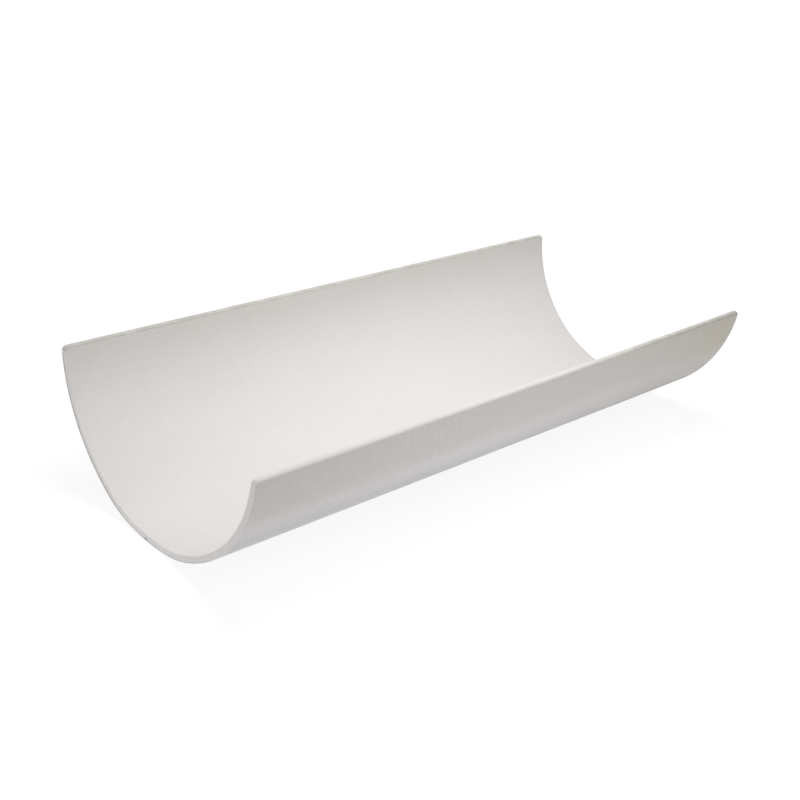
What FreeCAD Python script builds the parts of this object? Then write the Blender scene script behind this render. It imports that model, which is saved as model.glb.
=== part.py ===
import FreeCAD, Part
import math
import os

# Half-round gutter channel: one extruded length, both ends cut square.
# Frame: +X along the run, +Y across the trough, +Z up, millimetres.
# Origin: middle of the run, on the centre line, at the lowest point of the outside.

# ---- driving sizes -------------------------------------------------------
overall_length = 250.0      # cut length of the run
overall_width = 112.0       # across the outsides of the two rims
overall_depth = 52.0        # lowest point of the outside up to the rim tops
wall_thickness = 2.5        # the same all round the arc
rim_edge_radius = 1.0       # long edges of both rim tops, in section
left_corner_radius = 1.6    # rim corners at the -X end, rounded in side view
right_corner_radius = 1.0   # rim corners at the +X end, a little sharper

# ---- sizes that follow ---------------------------------------------------
# The outer arc touches the base at its lowest point and meets the rounds of the rim
# edges so that the rounded rims are exactly the overall width apart.
rim_edge = min(rim_edge_radius, 0.45 * wall_thickness)   # leaves a flat on a thin wall
round_y = overall_width / 2.0 - rim_edge
round_z = overall_depth - rim_edge
rise = 2.0 * (round_z - rim_edge)
outer_radius = (round_y ** 2 + round_z ** 2 - rim_edge ** 2) / rise
inner_radius = outer_radius - wall_thickness
arc_centre_z = outer_radius
left_x = -overall_length / 2.0
right_x = overall_length / 2.0
margin = 1.0                # how far cutting bodies run past the channel


def at(y, z):
    """Point of the cross-section, in the plane of the -X end."""
    return FreeCAD.Vector(left_x, y, z)


def on_circle(centre_y, centre_z, radius, angle):
    """Point at an angle on a circle of the cross-section."""
    return at(centre_y + radius * math.cos(angle), centre_z + radius * math.sin(angle))


def arc(centre_y, centre_z, radius, start, end):
    """Arc of the cross-section between two angles."""
    first = on_circle(centre_y, centre_z, radius, start)
    middle = on_circle(centre_y, centre_z, radius, (start + end) / 2.0)
    last = on_circle(centre_y, centre_z, radius, end)
    return Part.Arc(first, middle, last).toShape()


def edge_round_y(distance):
    """Where a rim edge round is centred, at a distance from the centre of the arc."""
    return math.sqrt(distance ** 2 - (arc_centre_z - round_z) ** 2)


def section_face():
    """Cross-section: two concentric arcs joined by flat rim tops with rounded edges."""
    outer_y = edge_round_y(outer_radius - rim_edge)
    inner_y = edge_round_y(inner_radius + rim_edge)
    drop = arc_centre_z - round_z
    outer_angle = math.atan2(drop, outer_y)
    inner_angle = math.atan2(drop, inner_y)
    up = math.pi / 2.0
    turn = math.pi

    edges = []
    edges.append(arc(0.0, arc_centre_z, outer_radius, -turn + outer_angle, -outer_angle))
    edges.append(arc(outer_y, round_z, rim_edge, -outer_angle, up))
    edges.append(Part.makeLine(at(outer_y, overall_depth), at(inner_y, overall_depth)))
    edges.append(arc(inner_y, round_z, rim_edge, up, turn - inner_angle))
    edges.append(arc(0.0, arc_centre_z, inner_radius, -inner_angle, -turn + inner_angle))
    edges.append(arc(-inner_y, round_z, rim_edge, inner_angle, up))
    edges.append(Part.makeLine(at(-inner_y, overall_depth), at(-outer_y, overall_depth)))
    edges.append(arc(-outer_y, round_z, rim_edge, up, turn + outer_angle))
    return Part.Face(Part.Wire(edges))


def side_outline():
    """Side view of the run: a rectangle whose two top corners are rounded."""
    front_y = -overall_width / 2.0 - margin
    diagonal = math.sqrt(0.5)
    low_z = -margin
    top_z = overall_depth

    def side(x, z):
        return FreeCAD.Vector(x, front_y, z)

    left = left_corner_radius
    right = right_corner_radius
    left_mid = side(left_x + left * (1.0 - diagonal), top_z - left * (1.0 - diagonal))
    right_mid = side(right_x - right * (1.0 - diagonal), top_z - right * (1.0 - diagonal))

    edges = []
    edges.append(Part.makeLine(side(left_x, low_z), side(left_x, top_z - left)))
    edges.append(Part.Arc(side(left_x, top_z - left), left_mid, side(left_x + left, top_z)).toShape())
    edges.append(Part.makeLine(side(left_x + left, top_z), side(right_x - right, top_z)))
    edges.append(Part.Arc(side(right_x - right, top_z), right_mid, side(right_x, top_z - right)).toShape())
    edges.append(Part.makeLine(side(right_x, top_z - right), side(right_x, low_z)))
    edges.append(Part.makeLine(side(right_x, low_z), side(left_x, low_z)))
    return Part.Face(Part.Wire(edges))


def make_channel():
    """The channel: the section run along X, its rim corners trimmed to the side view."""
    run = section_face().extrude(FreeCAD.Vector(overall_length, 0.0, 0.0))
    across = FreeCAD.Vector(0.0, overall_width + 2.0 * margin, 0.0)
    trimmed = run.common(side_outline().extrude(across))
    return trimmed.Solids[0]


os.makedirs("parts", exist_ok=True)
channel = make_channel()
channel.exportStep("parts/gutter_channel.step")
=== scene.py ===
"""Looks of a short length of half-round uPVC gutter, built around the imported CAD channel."""

import math

import bpy
from mathutils import Matrix, Vector, noise


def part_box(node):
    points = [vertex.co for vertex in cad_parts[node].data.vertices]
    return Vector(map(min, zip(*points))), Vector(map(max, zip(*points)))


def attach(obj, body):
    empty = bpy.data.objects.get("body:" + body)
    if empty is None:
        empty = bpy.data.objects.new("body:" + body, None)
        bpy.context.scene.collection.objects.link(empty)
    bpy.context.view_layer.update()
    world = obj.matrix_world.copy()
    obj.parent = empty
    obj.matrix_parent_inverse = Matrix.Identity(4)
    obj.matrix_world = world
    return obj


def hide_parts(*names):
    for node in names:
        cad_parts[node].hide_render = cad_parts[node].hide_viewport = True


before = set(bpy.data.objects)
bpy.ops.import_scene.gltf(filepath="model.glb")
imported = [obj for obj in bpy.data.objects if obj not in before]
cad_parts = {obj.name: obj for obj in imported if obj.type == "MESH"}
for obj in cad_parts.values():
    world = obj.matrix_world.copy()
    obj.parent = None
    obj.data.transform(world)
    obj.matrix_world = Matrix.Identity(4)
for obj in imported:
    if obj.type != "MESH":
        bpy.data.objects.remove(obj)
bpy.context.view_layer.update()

MM = 0.001
NODE = "gutter_channel"

# ---- the channel's section, as in the CAD source (metres) -----------------
low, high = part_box(NODE)
DEPTH = high.z - low.z
WALL = 2.5 * MM
EDGE = 1.0 * MM                 # rounding of the rims' long edges
LEFT_CORNER = 1.6 * MM          # rim corners in side view, -X end
RIGHT_CORNER = 1.0 * MM         # rim corners in side view, +X end
ROUND_Y = (high.y - low.y) / 2.0 - EDGE
ROUND_Z = DEPTH - EDGE
R_OUT = (ROUND_Y ** 2 + ROUND_Z ** 2 - EDGE ** 2) / (2.0 * (ROUND_Z - EDGE))
R_IN = R_OUT - WALL
SAWN_EDGE = 0.22 * MM           # softened arris where the ends were cut

# ---- how finely it is meshed ----------------------------------------------
ARC_POINTS = 97                 # points along each arc of the section
ROUND_POINTS = 9                # points along each rounded rim edge
ROUND_ADDS = ROUND_POINTS - 1   # points it adds, as it shares one with the arc beside it
INNER_FIRST = ARC_POINTS + 2 * ROUND_ADDS   # where a section's inner arc starts
INNER_LAST = INNER_FIRST + ARC_POINTS - 1
BODY_STATIONS = 120             # steps along the straight run
CORNER_STATIONS = 12            # steps along each rounded rim corner
ARRIS_STEPS = 3                 # steps round the softened arris
CUT_RINGS = (0.95, 0.70, 0.45)  # rings of points on each cut face, mm in from its outline

# ---- small departures from a true extrusion -------------------------------
RIM_SAG = 1.0 * MM              # how far the -Y rim has dropped at the -X end
RIM_LEAN = 0.3 * MM             # how far it leans in at the +X end
BACK_SAG = 0.3 * MM             # how far the +Y rim has dropped
WAVE = 0.06 * MM                # most that the wall wanders inwards from the true arc
# Where the arc is fuller than a true circle at the -X end: degrees from the -Y side,
# spread in degrees, mm outwards.
FULLER = ((110.0, 13.0, 0.80), (73.0, 9.0, 0.35))
FULLER_GONE = 20.0 * MM         # the X where that has faded out
SAW_STEP = 0.05 * MM            # roughness of the cut faces as geometry

# ---- painted shade on the rims and dark lines at the cut ends -------------
BACK_RIM_SHADE = 1.35                # painted shade, all along the +Y rim
FRONT_RIM_SHADE = 0.1                # painted shade on the -Y rim towards -X
FRONT_RIM_SHADE_GAIN = 1.3           # how much more it has by the +X end
FRONT_RIM_SHADE_RUN = (10.0 * MM, 105.0 * MM)    # the stretch of X where it grows
INNER_EDGE_SHARE = 0.8          # of that painted shade, on the -Y rim's inner edge
OUTER_EDGE_SHARE = 1.5          # and on its outer edge
EDGE_SHADE_REACH = 0.35               # mm that the painted shade line is wide low on the -X cut face
EDGE_SHADE_GAIN = 0.75                # mm that it is wider up the +Y side
EDGE_SHADE_WIDENS = (100.0, 125.0)    # degrees from the -Y side, where it widens
EDGE_SHADE_STARTS = (48.0, 62.0)      # degrees, where it fades in past the clean -Y side
TROUGH_LINE = 0.5               # strength of the thin line inside the +X end


def arc_points(cy, cz, radius, start, end, count):
    """Points on a circle of the section, both ends included."""
    points = []
    for i in range(count):
        angle = start + (end - start) * i / (count - 1)
        points.append((cy + radius * math.cos(angle), cz + radius * math.sin(angle)))
    return points


def section(rim_z, inset):
    """Closed outline of the wall whose rims end at rim_z, drawn in by inset all round."""
    outer = R_OUT - inset
    inner = R_IN + inset
    edge = EDGE - inset
    z = rim_z - inset - edge
    drop = R_OUT - z
    outer_y = math.sqrt((outer - edge) ** 2 - drop ** 2)
    inner_y = math.sqrt((inner + edge) ** 2 - drop ** 2)
    outer_angle = math.atan2(drop, outer_y)
    inner_angle = math.atan2(drop, inner_y)
    up = math.pi / 2.0
    turn = math.pi
    line = arc_points(0.0, R_OUT, outer, -turn + outer_angle, -outer_angle, ARC_POINTS)
    line += arc_points(outer_y, z, edge, -outer_angle, up, ROUND_POINTS)[1:]
    line += arc_points(inner_y, z, edge, up, turn - inner_angle, ROUND_POINTS)[:-1]
    line += arc_points(0.0, R_OUT, inner, -inner_angle, -turn + inner_angle, ARC_POINTS)
    line += arc_points(-inner_y, z, edge, inner_angle, up, ROUND_POINTS)[1:]
    line += arc_points(-outer_y, z, edge, up, turn + outer_angle, ROUND_POINTS)[:-1]
    return line


def corner_fall(corner, distance):
    """How far a rim has dropped round its corner, at a distance from the cut end."""
    return corner - math.sqrt(max(corner ** 2 - (corner - distance) ** 2, 0.0))


def end_stations(corner):
    """(distance from the cut end, rim drop, inset) of the sections at one end: from inside
    the cut face outwards, round its arris and along the rounded rim corner."""
    quarter = math.pi / 2.0
    places = [(0.0, ring * MM) for ring in CUT_RINGS]
    for i in range(ARRIS_STEPS + 1):
        angle = quarter * (1.0 - i / ARRIS_STEPS)
        places.append((SAWN_EDGE * (1.0 - math.sin(angle)), SAWN_EDGE * (1.0 - math.cos(angle))))
    for i in range(1, CORNER_STATIONS + 1):
        share = 1.0 - math.cos(quarter * i / CORNER_STATIONS)
        places.append((SAWN_EDGE + (corner - SAWN_EDGE) * share, 0.0))
    return [(distance, corner_fall(corner, distance), inset) for distance, inset in places]


def stations():
    """(x, rim drop, inset) of every section from the -X end to the +X end."""
    left = [(low.x + s, fall, inset) for s, fall, inset in end_stations(LEFT_CORNER)]
    right = [(high.x - s, fall, inset) for s, fall, inset in end_stations(RIGHT_CORNER)]
    start = left[-1][0]
    finish = right[-1][0]
    body = []
    for i in range(1, BODY_STATIONS):
        body.append((start + (finish - start) * i / BODY_STATIONS, 0.0, 0.0))
    return left + body + right[::-1]


def fade(value, full, none):
    """1 up to full, falling evenly to 0 at none."""
    return min(max((none - value) / (none - full), 0.0), 1.0)


def arc_angle(y, z):
    """Angle round the section from the -Y side, a right angle at the bottom."""
    return math.atan2(R_OUT - z, -y)


def slack(x, y, z):
    """The walls' slight set: the -Y rim lower towards -X and leaning in towards +X."""
    share = max(z / DEPTH, 0.0) ** 1.5
    if y >= 0.0:
        return Vector((x, y, z - BACK_SAG * share))
    along = (x - low.x) / (high.x - low.x)
    lean = RIM_LEAN * along ** 2
    sag = RIM_SAG * (1.0 - along ** 2)
    return Vector((x, y + lean * share, z - sag * share))


def outward(x, degrees):
    """How far the wall stands out from the true arc, at an angle from the -Y side."""
    amount = -WAVE * (0.5 + 0.5 * noise.noise(Vector((x * 16.0, degrees * 0.03, 3.1))))
    share = fade(x, low.x, FULLER_GONE)
    for middle, spread, most in FULLER:
        amount += share * most * MM * math.exp(-((degrees - middle) / spread) ** 2)
    return amount


def settled(x, y, z):
    """A point of the wall after the small departures of a real extrusion."""
    angle = arc_angle(y, z)
    amount = outward(x, math.degrees(angle))
    z = max(z - amount * math.sin(angle), low.z)
    return slack(x, y - amount * math.cos(angle), z)


def sawn_step(x, y, z):
    """How far a point of a cut face lies in from the true plane."""
    return SAW_STEP * (0.5 + 0.5 * noise.noise(Vector((y * 900.0, z * 900.0, x * 40.0))))


def rim_roles():
    """Per point of the section, the share of a rim's painted shade that it carries, 0 off the
    rims.
    """
    back = [1.0] * (2 * ROUND_ADDS)
    front = [INNER_EDGE_SHARE] * ROUND_ADDS + [OUTER_EDGE_SHARE] * ROUND_ADDS
    return [0.0] * ARC_POINTS + back + [0.0] * ARC_POINTS + front


def rim_shade_amount(x, y):
    """Painted shade on a rim: even along the +Y one, growing towards +X on the -Y one."""
    if y > 0.0:
        return BACK_RIM_SHADE
    return FRONT_RIM_SHADE + FRONT_RIM_SHADE_GAIN * (1.0 - fade(x, *FRONT_RIM_SHADE_RUN))


def end_dark_lines(x, inset, degrees, outside):
    """Dark lines at the cut ends: painted shade along the outer edge of the -X face, wider up the
    +Y side and missing on the -Y side, and a thin darker line inside the trough at the +X end."""
    depth_in = min(x - low.x, high.x - x)
    if x < 0.0 and outside:
        reach = (EDGE_SHADE_REACH + EDGE_SHADE_GAIN * (1.0 - fade(degrees, *EDGE_SHADE_WIDENS))) * MM
        side = 1.0 - fade(degrees, *EDGE_SHADE_STARTS)
        return side * fade(inset, 0.5 * reach, 1.3 * reach) * fade(depth_in, 0.12 * MM, 0.40 * MM)
    if x > 0.0 and not outside:
        return TROUGH_LINE * fade(depth_in, 0.30 * MM, 0.90 * MM)
    return 0.0


def channel_points(rows):
    """The points of every section, and the weights that the material reads at them."""
    points = []
    weights = {"sawn": [], "dark_lines": [], "rim": [], "outside": []}
    roles = rim_roles()
    for x, fall, inset in rows:
        cut = min(inset / SAWN_EDGE, 1.0)
        inwards = 1.0 if x < 0.0 else -1.0
        for i, (y, z) in enumerate(section(DEPTH - fall, inset)):
            outside = i < ARC_POINTS
            step = sawn_step(x, y, z) * cut * inwards
            points.append(tuple(settled(x + step, y, z)))
            weights["sawn"].append(cut)
            weights["dark_lines"].append(end_dark_lines(x, inset, math.degrees(arc_angle(y, z)), outside))
            weights["outside"].append(float(outside))
            weights["rim"].append(roles[i] * rim_shade_amount(x, y) * (1.0 - cut))
    return points, weights


def cap_faces(first, count):
    """Quads across the wall's end plus a polygon over each rim, all facing +X."""
    faces = []
    for i in range(ARC_POINTS - 1):
        across = first + INNER_LAST - i
        faces.append((first + i, first + i + 1, across - 1, across))
    faces.append(tuple(first + i for i in range(ARC_POINTS - 1, INNER_FIRST + 1)))
    faces.append(tuple(first + i % count for i in range(INNER_LAST, count + 1)))
    return faces


def channel_faces(row_count, count):
    """Quads between neighbouring sections, and the two cut faces. All face into the wall."""
    faces = []
    for row in range(row_count - 1):
        a = row * count
        b = a + count
        for i in range(count):
            j = (i + 1) % count
            faces.append((a + i, b + i, b + j, a + j))
    faces += cap_faces(0, count)
    faces += [tuple(reversed(face)) for face in cap_faces((row_count - 1) * count, count)]
    return faces


def build_channel():
    """The whole channel as one closed mesh."""
    rows = stations()
    points, weights = channel_points(rows)
    mesh = bpy.data.meshes.new("channel")
    mesh.from_pydata(points, [], channel_faces(len(rows), len(points) // len(rows)))
    mesh.validate()
    for name, values in weights.items():
        mesh.attributes.new(name, "FLOAT", "POINT").data.foreach_set("value", values)
    for polygon in mesh.polygons:
        polygon.use_smooth = True
    mesh.update()
    obj = bpy.data.objects.new("channel", mesh)
    bpy.context.scene.collection.objects.link(obj)
    return obj


# ---- node trees -----------------------------------------------------------
class Graph:
    """Short calls for building the nodes of one material or world."""

    def __init__(self, owner):
        owner.use_nodes = True
        self.tree = owner.node_tree

    def node(self, kind, inputs, **settings):
        """A node whose inputs are each linked to a socket or set to a value."""
        node = self.tree.nodes.new(kind)
        for name, value in settings.items():
            setattr(node, name, value)
        for key, value in inputs.items():
            if isinstance(value, bpy.types.NodeSocket):
                self.tree.links.new(value, node.inputs[key])
            else:
                node.inputs[key].default_value = value
        return node

    def remap(self, value, start, stop, low_value, high_value):
        inputs = {"Value": value, "From Min": start, "From Max": stop}
        inputs.update({"To Min": low_value, "To Max": high_value})
        return self.node("ShaderNodeMapRange", inputs, clamp=True).outputs["Result"]

    def math(self, operation, *values):
        """The values taken two at a time, in order."""
        result = values[0]
        for value in values[1:]:
            node = self.node("ShaderNodeMath", {0: result, 1: value}, operation=operation)
            result = node.outputs[0]
        return result

    def plus(self, *values):
        return self.math("ADD", *values)

    def times(self, *values):
        return self.math("MULTIPLY", *values)

    def vector_math(self, operation, inputs):
        return self.node("ShaderNodeVectorMath", inputs, operation=operation).outputs

    def mix_shaders(self, share, first, second):
        inputs = {0: share, 1: first.outputs[0], 2: second.outputs[0]}
        return self.node("ShaderNodeMixShader", inputs).outputs[0]


class ObjectGraph(Graph):
    """Calls for a material that varies over its object, placed by the object's coordinates."""

    def __init__(self, material):
        super().__init__(material)
        self.place = self.node("ShaderNodeTexCoord", {}).outputs["Object"]
        self.parts = self.node("ShaderNodeSeparateXYZ", {"Vector": self.place}).outputs

    def stretch(self, scale, turn=0.0):
        inputs = {"Vector": self.place, "Scale": scale, "Rotation": (turn, 0.0, 0.0)}
        return self.node("ShaderNodeMapping", inputs).outputs["Vector"]

    def noise(self, vector, scale, detail=2.0):
        inputs = {"Vector": vector, "Scale": scale, "Detail": detail, "Roughness": 0.55}
        return self.node("ShaderNodeTexNoise", inputs).outputs["Fac"]

    def weight(self, name):
        return self.node("ShaderNodeAttribute", {}, attribute_name=name).outputs["Fac"]

    def blend(self, share, first, second):
        """From the first colour to the second, by a share of 0 to 1."""
        factor, colour_a, colour_b, result = 0, 6, 7, 2
        inputs = {factor: share, colour_a: first, colour_b: second}
        return self.node("ShaderNodeMix", inputs, data_type="RGBA").outputs[result]

    def scale_colour(self, colour, factor):
        return self.vector_math("SCALE", {0: colour, "Scale": factor})["Vector"]

    def bump(self, height, distance, below=None):
        """Relief by a pattern, at most distance high, over the relief below it."""
        inputs = {"Height": height, "Distance": distance, "Strength": 1.0}
        if below is not None:
            inputs["Normal"] = below
        return self.node("ShaderNodeBump", inputs).outputs["Normal"]


# ---- material -------------------------------------------------------------
WARM_WHITE = (0.816, 0.789, 0.775, 1.0)
COOL_WHITE = (0.806, 0.785, 0.779, 1.0)
UPPER_WARM_SHADE = (0.795, 0.768, 0.722, 1.0)     # painted warm shade towards the rims
OUTER_WARM_SHADE = (0.795, 0.746, 0.646, 1.0)      # painted warm shade outside, below the rims
LOWER_COOL_LIGHT = (0.811, 0.787, 0.796, 1.0)      # painted cool light on the lower wall outside
CHALK = (0.825, 0.803, 0.785)           # freshly cut plastic
RIM_SHADE_GREY = (0.505, 0.485, 0.448, 1.0)  # painted shade on the rims
BLUE_LINE_AND_GRIME = (0.33, 0.36, 0.42, 1.0)    # the painted shade line, and a smudge of grime, low on the cut end
BROWN_DARK_LINE = (0.38, 0.35, 0.32, 1.0)   # the same painted shade line further up, and the thin line inside the +X end
SPECULAR = 0.25
RIM_SHADE_STRENGTH = 0.62
LINE_STRENGTH = 0.78
SMUDGE_STRENGTH = 0.75
SMUDGE_Y = 2.4 * MM                     # where the smudge lies on the -X cut face
SMUDGE_Z = 0.75 * MM
SMUDGE_HALF = (0.6 * MM, 1.0 * MM, 0.42 * MM)
SAW_TURN = math.radians(24.0)           # slant of the saw marks
# Bands of painted light and shade up the outside, as heights: starts, full from, full to, ends.
MIDDLE_BAND = (0.0215, 0.0255, 0.0300, 0.0340)
LOWER_BAND = (0.0105, 0.0125, 0.0170, 0.0215)


def patterns(graph):
    """The noises that the colour, the roughness and the relief share."""
    scratches = graph.noise(graph.stretch((26.0, 1500.0, 1500.0)), 1.0, 1.0)
    return {
        "mottle": graph.noise(graph.place, 30.0, 3.0),
        "cloud": graph.noise(graph.place, 150.0),
        "pebble": graph.noise(graph.place, 1050.0),
        "grain": graph.noise(graph.place, 2400.0, 1.0),
        "die_lines": graph.noise(graph.stretch((7.0, 520.0, 520.0)), 1.0, 3.0),
        "saw_lines": graph.noise(graph.stretch((900.0, 260.0, 3400.0), SAW_TURN), 1.0, 3.0),
        "scratch": graph.remap(scratches, 0.70, 0.78, 0.0, 1.0),
    }


def warm_shade_share(graph):
    """How much painted warm shade there is: towards the rims, most outside at the +X end."""
    parts = graph.parts
    height = graph.remap(parts["Z"], 0.030, 0.049, 0.0, 1.0)
    outside = graph.remap(parts["Y"], -0.030, -0.050, 0.0, 1.0)
    along = graph.remap(parts["X"], 0.020, 0.120, 0.0, 1.0)
    cloudy = graph.remap(graph.noise(graph.place, 45.0), 0.3, 0.7, 0.75, 1.25)
    everywhere = graph.times(height, 0.55)
    extra = graph.times(height, outside, along, 0.75)
    return graph.times(graph.plus(everywhere, extra), cloudy)


def height_band(graph, band):
    """1 between the band's two middle heights, falling to 0 at its two outer ones."""
    start, full, last, end = band
    height = graph.parts["Z"]
    rise = graph.remap(height, start, full, 0.0, 1.0)
    fall = graph.remap(height, last, end, 1.0, 0.0)
    return graph.times(rise, fall)


def outside_painted_light(graph):
    """Outside: painted shade below the rims, painted light on a middle band and on a lower band
    towards -X (painted shade on the lower one towards +X), and painted shade along the underside.
    """
    height = graph.parts["Z"]
    along = graph.parts["X"]
    upper_shade = graph.remap(height, 0.032, 0.038, 0.0, -0.050)
    middle = graph.remap(along, -0.020, 0.060, 0.050, -0.005)
    middle = graph.times(height_band(graph, MIDDLE_BAND), middle)
    lower = graph.remap(along, -0.110, 0.080, 0.140, -0.060)
    lower = graph.times(height_band(graph, LOWER_BAND), lower)
    under_shade = graph.remap(height, 0.0095, 0.0125, -0.10, 0.0)
    change = graph.plus(graph.plus(upper_shade, middle), graph.plus(lower, under_shade))
    return graph.plus(graph.times(graph.weight("outside"), change), 1.0)


def outside_hue(graph, colour):
    """Outside: painted warm shade below the rims, most at the +X end, and painted cool light on
    the lower wall towards -X.
    """
    outside = graph.weight("outside")
    height = graph.parts["Z"]
    along = graph.parts["X"]
    upper_shade = graph.remap(height, 0.028, 0.038, 0.25, 1.0)
    warm = graph.times(upper_shade, graph.remap(along, 0.075, 0.115, 0.10, 0.95), outside)
    colour = graph.blend(warm, colour, OUTER_WARM_SHADE)
    lower = graph.remap(height, 0.028, 0.033, 1.0, 0.0)
    cool = graph.times(lower, graph.remap(along, -0.020, 0.050, 1.0, 0.0), outside)
    return graph.blend(cool, colour, LOWER_COOL_LIGHT)


def grain_tone(graph, pattern):
    """Fine light and dark grain, stronger outside."""
    strength = graph.remap(graph.weight("outside"), 0.0, 1.0, 0.032, 0.075)
    both = graph.plus(graph.times(pattern["grain"], 0.5), graph.times(pattern["pebble"], 0.5))
    swing = graph.remap(both, 0.30, 0.70, -1.0, 1.0)
    return graph.plus(graph.times(swing, strength), 1.0)


def wall_colour(graph, pattern):
    """The extruded wall: faintly mottled white, with painted warm shade towards the rims and
    painted light and shade outside.
    """
    mottle = pattern["mottle"]
    cloud = pattern["cloud"]
    hue = graph.plus(graph.times(mottle, 0.6), graph.times(cloud, 0.4))
    colour = graph.blend(graph.remap(hue, 0.40, 0.60, 0.0, 1.0), WARM_WHITE, COOL_WHITE)
    colour = outside_hue(graph, graph.blend(warm_shade_share(graph), colour, UPPER_WARM_SHADE))
    tone = graph.times(
        graph.remap(mottle, 0.30, 0.70, 0.990, 1.010),
        graph.remap(cloud, 0.30, 0.70, 0.993, 1.007),
        graph.remap(pattern["die_lines"], 0.30, 0.70, 0.996, 1.004),
        grain_tone(graph, pattern),
        graph.remap(pattern["scratch"], 0.0, 1.0, 1.0, 0.980),
    )
    return graph.scale_colour(colour, graph.times(tone, outside_painted_light(graph)))


def cut_colour(graph, pattern):
    """The sawn ends: chalky, streaked by the saw."""
    return graph.scale_colour(CHALK, graph.remap(pattern["saw_lines"], 0.30, 0.70, 0.955, 1.02))


def smudge_mask(graph):
    """1 inside the small smudge on the -X cut face, with a ragged edge."""
    centre = (low.x, SMUDGE_Y, SMUDGE_Z)
    offset = graph.vector_math("SUBTRACT", {0: graph.place, 1: centre})["Vector"]
    scaled = graph.vector_math("DIVIDE", {0: offset, 1: SMUDGE_HALF})["Vector"]
    reach = graph.vector_math("LENGTH", {0: scaled})["Value"]
    edge = graph.remap(graph.noise(graph.place, 2600.0), 0.3, 0.7, -0.3, 0.3)
    return graph.remap(graph.plus(reach, edge), 0.75, 1.25, 1.0, 0.0)


def shaded_and_soiled(graph, colour):
    """The colour with painted shade on the rims, a painted shade line and a smudge of grime on
    the -X cut end, and a thin darker line inside the +X end.
    """
    patchy = graph.remap(graph.noise(graph.place, 210.0), 0.35, 0.65, 0.60, 1.0)
    painted_rim_shade = graph.times(graph.weight("rim"), patchy, RIM_SHADE_STRENGTH)
    colour = graph.blend(painted_rim_shade, colour, RIM_SHADE_GREY)
    broken = graph.remap(graph.noise(graph.place, 420.0), 0.35, 0.60, 0.55, 1.0)
    # painted shade along the outer edge of the -X cut face, and a thin darker line inside the +X
    # end
    line = graph.times(graph.weight("dark_lines"), broken, LINE_STRENGTH)
    blueness = graph.remap(graph.parts["Y"], 0.004, 0.026, 1.0, 0.0)
    colour = graph.blend(line, colour, graph.blend(blueness, BROWN_DARK_LINE, BLUE_LINE_AND_GRIME))
    return graph.blend(graph.times(smudge_mask(graph), SMUDGE_STRENGTH), colour, BLUE_LINE_AND_GRIME)


def roughness(graph, pattern, sawn):
    """Satin, streaked along the run, smoother on the rims and rougher where sawn."""
    return graph.plus(
        graph.remap(pattern["mottle"], 0.30, 0.70, 0.54, 0.62),
        graph.remap(pattern["die_lines"], 0.30, 0.70, -0.03, 0.03),
        graph.times(graph.weight("rim"), -0.06),
        graph.times(sawn, 0.22),
        graph.times(pattern["scratch"], 0.10),
    )


def relief(graph, pattern, sawn):
    """Slight waviness, die lines, pebbled grain, and saw marks on the cut faces."""
    normal = graph.bump(pattern["cloud"], 0.030 * MM)
    normal = graph.bump(pattern["die_lines"], 0.005 * MM, normal)
    normal = graph.bump(pattern["pebble"], 0.040 * MM, normal)
    normal = graph.bump(pattern["grain"], 0.008 * MM, normal)
    return graph.bump(graph.times(pattern["saw_lines"], sawn), 0.06 * MM, normal)


def upvc_material():
    """Satin white extruded uPVC: faint mottling, die lines and grain, and sawn ends."""
    material = bpy.data.materials.new("white_upvc")
    graph = ObjectGraph(material)
    pattern = patterns(graph)
    sawn = graph.weight("sawn")
    clean = graph.blend(sawn, wall_colour(graph, pattern), cut_colour(graph, pattern))
    shader = graph.tree.nodes["Principled BSDF"]
    shader.inputs["Specular IOR Level"].default_value = SPECULAR
    graph.tree.links.new(shaded_and_soiled(graph, clean), shader.inputs["Base Color"])
    graph.tree.links.new(roughness(graph, pattern, sawn), shader.inputs["Roughness"])
    graph.tree.links.new(relief(graph, pattern, sawn), shader.inputs["Normal"])
    return material


# ---- floor, world, lamps, camera (metres, watts) --------------------------
FLOOR_HALF = 4.0
FLOOR_GREY = 0.85               # what the floor sends back to the object
FLOOR_SHADE = 0.16              # share of the floor's seen white that shadows can take away
GLOW = (0.90, 1.0)              # the floor's own seen white, near the middle and further out
GLOW_REACH = (0.15, 0.80)       # distances from the middle at which they hold
WORLD_FILL = 0.08
LAMP_AIM = Vector((0.0, 0.0, 0.0))
CAMERA_PLACE = Vector((-0.31921, -0.30356, 0.23313))
CAMERA_AIM = Vector((-0.01522, -0.00202, 0.02551))
CAMERA_ROLL = math.radians(5.71)
LENS = 56.10                    # millimetres
SENSOR = 36.0                   # millimetres


def grey(value):
    return (value, value, value, 1.0)


def seen_rays(graph):
    """1 for camera, glossy and transmission rays, 0 for the rest."""
    path = graph.node("ShaderNodeLightPath", {}).outputs
    rays = [path[f"Is {kind} Ray"] for kind in ("Camera", "Glossy", "Transmission")]
    return graph.math("MAXIMUM", *rays)


def floor_material():
    """White to the eye, with a soft grey shadow; a plain pale floor to the light."""
    material = bpy.data.materials.new("floor_white")
    graph = Graph(material)
    graph.tree.nodes.clear()
    plain = graph.node("ShaderNodeBsdfDiffuse", {"Color": grey(FLOOR_GREY)})
    shade = graph.node("ShaderNodeBsdfDiffuse", {"Color": grey(FLOOR_SHADE)})
    place = graph.node("ShaderNodeTexCoord", {}).outputs["Object"]
    reach = graph.vector_math("LENGTH", {0: place})["Value"]
    glow = graph.node("ShaderNodeEmission", {"Strength": graph.remap(reach, *GLOW_REACH, *GLOW)})
    seen = graph.node("ShaderNodeAddShader", {0: glow.outputs[0], 1: shade.outputs[0]})
    surface = graph.mix_shaders(seen_rays(graph), plain, seen)
    graph.node("ShaderNodeOutputMaterial", {"Surface": surface})
    return material


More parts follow.
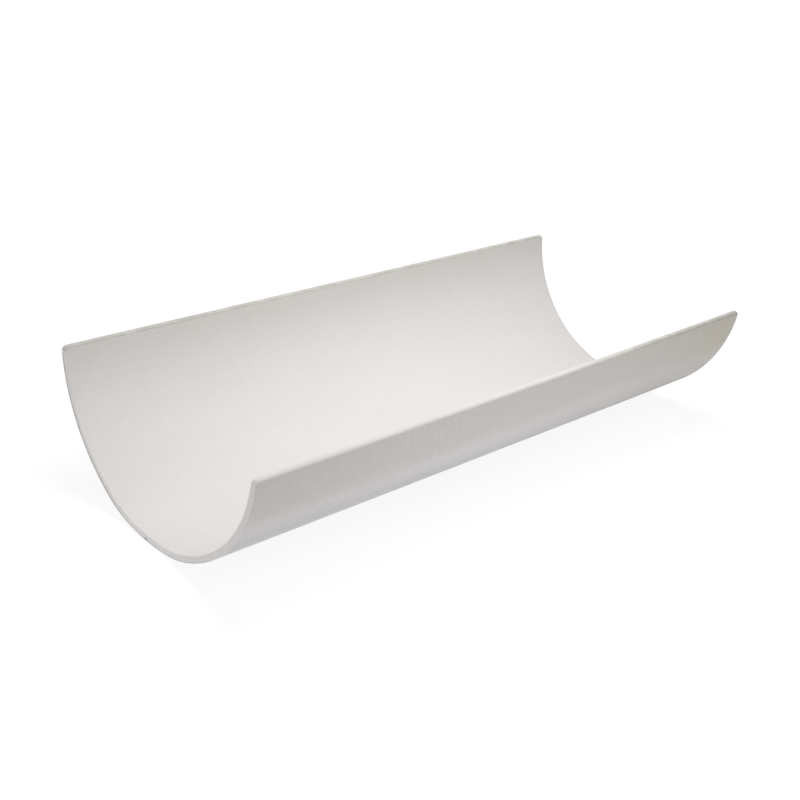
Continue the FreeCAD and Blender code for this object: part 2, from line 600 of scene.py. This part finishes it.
def make_floor():
    mesh = bpy.data.meshes.new("floor")
    h = FLOOR_HALF
    mesh.from_pydata([(-h, -h, 0), (h, -h, 0), (h, h, 0), (-h, h, 0)], [], [(0, 1, 2, 3)])
    mesh.materials.append(floor_material())
    floor = bpy.data.objects.new("floor", mesh)
    bpy.context.scene.collection.objects.link(floor)


def make_world():
    """White where it is seen or mirrored, and a faint even fill for the rest of the light."""
    world = bpy.data.worlds.new("studio")
    bpy.context.scene.world = world
    graph = Graph(world)
    graph.tree.nodes.clear()
    fill = graph.node("ShaderNodeBackground", {"Color": grey(1.0), "Strength": WORLD_FILL})
    seen = graph.node("ShaderNodeBackground", {"Color": grey(1.0), "Strength": 1.0})
    surface = graph.mix_shaders(seen_rays(graph), fill, seen)
    graph.node("ShaderNodeOutputWorld", {"Surface": surface})


def area_lamp(name, place, size, power):
    lamp = bpy.data.lights.new(name, "AREA")
    lamp.shape = "RECTANGLE"
    lamp.size, lamp.size_y = size
    lamp.energy = power
    obj = bpy.data.objects.new(name, lamp)
    obj.location = place
    direction = LAMP_AIM - Vector(place)
    obj.rotation_euler = direction.to_track_quat("-Z", "Y").to_euler()
    obj.visible_camera = False
    obj.visible_glossy = False      # soft light only, no glare along the trough
    bpy.context.scene.collection.objects.link(obj)


def make_camera():
    """Stands to the left and in front, looking down along the trough."""
    data = bpy.data.cameras.new("camera")
    data.lens = LENS
    data.sensor_width = SENSOR
    data.clip_start = 0.01
    data.clip_end = 50.0
    camera = bpy.data.objects.new("camera", data)
    forward = (CAMERA_AIM - CAMERA_PLACE).normalized()
    level = forward.cross(Vector((0.0, 0.0, 1.0))).normalized()
    upright = level.cross(forward)
    right = level * math.cos(CAMERA_ROLL) + upright * math.sin(CAMERA_ROLL)
    up = upright * math.cos(CAMERA_ROLL) - level * math.sin(CAMERA_ROLL)
    axes = Matrix((right, up, -forward)).transposed()
    camera.matrix_world = Matrix.Translation(CAMERA_PLACE) @ axes.to_4x4()
    bpy.context.scene.collection.objects.link(camera)
    bpy.context.scene.camera = camera


bpy.context.scene.view_settings.view_transform = "Standard"
make_camera()
make_world()
make_floor()
area_lamp("top", (0.02, 0.0, 0.40), (0.20, 0.20), 0.985)
area_lamp("top_near", (0.0, -0.12, 0.30), (0.15, 0.15), 0.084)
area_lamp("top_front", (0.0, -0.70, 1.00), (1.20, 0.80), 2.83)
area_lamp("left", (-1.20, 0.0, 0.12), (0.50, 0.20), 2.95)
area_lamp("left_back", (-0.60, 0.60, 0.40), (0.40, 0.40), 1.23)
area_lamp("low_front", (-0.03, -0.25, 0.04), (0.20, 0.06), 0.064)

channel = build_channel()
channel.data.materials.append(upvc_material())
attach(channel, "root")
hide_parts(NODE)
